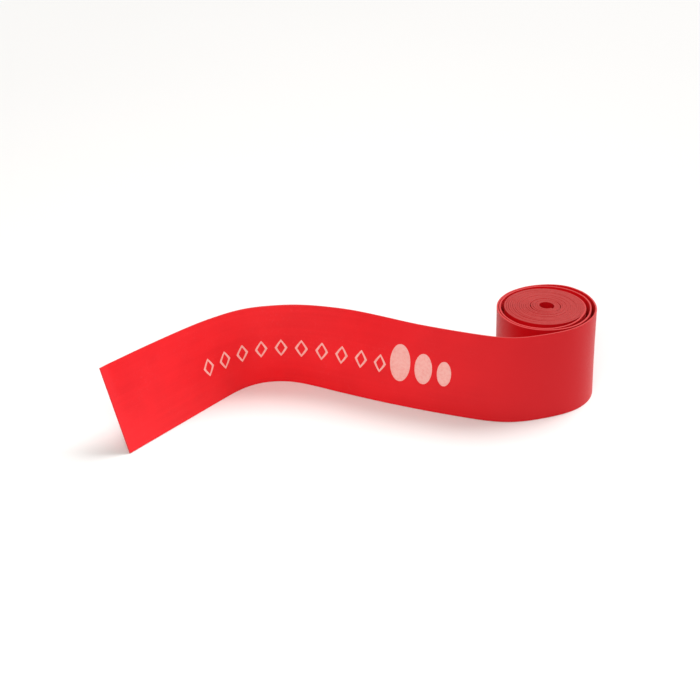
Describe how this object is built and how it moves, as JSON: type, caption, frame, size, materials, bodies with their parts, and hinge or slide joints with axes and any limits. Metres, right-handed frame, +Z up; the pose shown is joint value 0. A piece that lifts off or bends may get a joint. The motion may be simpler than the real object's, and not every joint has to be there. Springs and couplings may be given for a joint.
{
  "type": "stretching strap",
  "caption": "Flat latex stretching band standing on its long edge: an upright coil with two slack turns round it, and a free tail that lies in an S curve.",
  "frame": {"origin": "middle of the bottom of the whole object's box, on the surface the band stands on", "axes": "+X from the tail's free end towards the coil, +Y away from the printed face, +Z up along the coil's axis"},
  "size_m": [0.2749, 0.1076, 0.05],
  "materials": {
    "latex": "red natural latex, satin, slightly translucent at its cut edges",
    "print": "thin white screen print on the outer face, tinted by the latex under it"
  },
  "bodies": {
    "coil": {"coil_core_turns": "latex", "coil_inner_turns": "latex", "coil_outer_turns": "latex"},
    "slack": {"slack_turn_inner": "latex", "slack_turn_outer": "latex"},
    "tail_01": {"tail_section_01": "latex"},
    "tail_02": {"tail_section_02": "latex"},
    "tail_03": {"tail_section_03": "latex"},
    "tail_04": {"tail_section_04": "latex"},
    "tail_05": {"tail_section_05": "latex"},
    "tail_06": {"tail_section_06": "latex"},
    "tail_07": {"tail_section_07": "latex"},
    "tail_08": {"tail_section_08": "latex"},
    "tail_09": {"tail_section_09": "latex"},
    "tail_10": {"tail_section_10": "latex"},
    "tail_11": {"tail_section_11": "latex"},
    "tail_12": {"tail_section_12": "latex"},
    "tail_13": {"tail_section_13": "latex"},
    "tail_14": {"tail_section_14": "latex"}
  },
  "joints": [
    {"name": "winding", "type": "hinge", "parent": "coil", "child": "slack", "pos_m": [0.10803, 0.02471, 0.025], "axis": [0, 0, 1], "range_deg": [-15, 10]},
    {"name": "near_bend", "type": "hinge", "parent": "slack", "child": "tail_01", "pos_m": [0.13677, 0.02364, 0.025], "axis": [0, 0, 1], "range_deg": [-1, 8], "stiffness_Nm_per_rad": 0.00014},
    {"name": "near_bend_2", "type": "hinge", "parent": "tail_01", "child": "tail_02", "pos_m": [0.129, 0.00202, 0.02497], "axis": [0, 0, 1], "range_deg": [-1, 8], "stiffness_Nm_per_rad": 0.00014},
    {"name": "near_bend_3", "type": "hinge", "parent": "tail_02", "child": "tail_03", "pos_m": [0.11019, -0.01025, 0.02489], "axis": [0, 0, 1], "range_deg": [-1, 8], "stiffness_Nm_per_rad": 0.00014},
    {"name": "near_bend_4", "type": "hinge", "parent": "tail_03", "child": "tail_04", "pos_m": [0.08807, -0.01583, 0.02484], "axis": [0, 0, 1], "range_deg": [-1, 8], "stiffness_Nm_per_rad": 0.00014},
    {"name": "stretch", "type": "slide", "parent": "tail_04", "child": "tail_05", "axis": [-0.9506, 0.3105, 0], "range_m": [0, 0.012], "stiffness_N_per_m": 929},
    {"name": "stretch_2", "type": "slide", "parent": "tail_05", "child": "tail_06", "axis": [-0.9354, 0.3536, 0], "range_m": [0, 0.012], "stiffness_N_per_m": 929},
    {"name": "stretch_3", "type": "slide", "parent": "tail_06", "child": "tail_07", "axis": [-0.9183, 0.396, 0], "range_m": [0, 0.012], "stiffness_N_per_m": 929},
    {"name": "stretch_4", "type": "slide", "parent": "tail_07", "child": "tail_08", "axis": [-0.8992, 0.4375, 0], "range_m": [0, 0.012], "stiffness_N_per_m": 929},
    {"name": "far_bend", "type": "hinge", "parent": "tail_08", "child": "tail_09", "pos_m": [-0.0225, 0.02458, 0.02497], "axis": [0, 0, 1], "range_deg": [-18, 10], "stiffness_Nm_per_rad": 0.00014},
    {"name": "far_bend_2", "type": "hinge", "parent": "tail_09", "child": "tail_10", "pos_m": [-0.04626, 0.02706, 0.025], "axis": [0, 0, 1], "range_deg": [-18, 10], "stiffness_Nm_per_rad": 0.00014},
    {"name": "far_bend_3", "type": "hinge", "parent": "tail_10", "child": "tail_11", "pos_m": [-0.06791, 0.01743, 0.02499], "axis": [0, 0, 1], "range_deg": [-18, 10], "stiffness_Nm_per_rad": 0.00014},
    {"name": "stretch_5", "type": "slide", "parent": "tail_11", "child": "tail_12", "axis": [-0.6157, -0.788, 0], "range_m": [0, 0.012], "stiffness_N_per_m": 929},
    {"name": "end_bend", "type": "hinge", "parent": "tail_12", "child": "tail_13", "pos_m": [-0.10216, -0.01687, 0.02417], "axis": [0, 0, 1], "range_deg": [-10, 10], "stiffness_Nm_per_rad": 0.00014},
    {"name": "end_bend_2", "type": "hinge", "parent": "tail_13", "child": "tail_14", "pos_m": [-0.11833, -0.03469, 0.02362], "axis": [0, 0, 1], "range_deg": [-10, 10], "stiffness_Nm_per_rad": 0.00014}
  ],
  "couplings": [
    {"joint": "near_bend_2", "follows": "near_bend", "ratio": 1},
    {"joint": "near_bend_3", "follows": "near_bend", "ratio": 1},
    {"joint": "near_bend_4", "follows": "near_bend", "ratio": 1},
    {"joint": "stretch_2", "follows": "stretch", "ratio": 1},
    {"joint": "stretch_3", "follows": "stretch", "ratio": 1},
    {"joint": "stretch_4", "follows": "stretch", "ratio": 1},
    {"joint": "stretch_5", "follows": "stretch", "ratio": 1},
    {"joint": "far_bend_2", "follows": "far_bend", "ratio": 1},
    {"joint": "far_bend_3", "follows": "far_bend", "ratio": 1},
    {"joint": "end_bend_2", "follows": "end_bend", "ratio": 1}
  ]
}
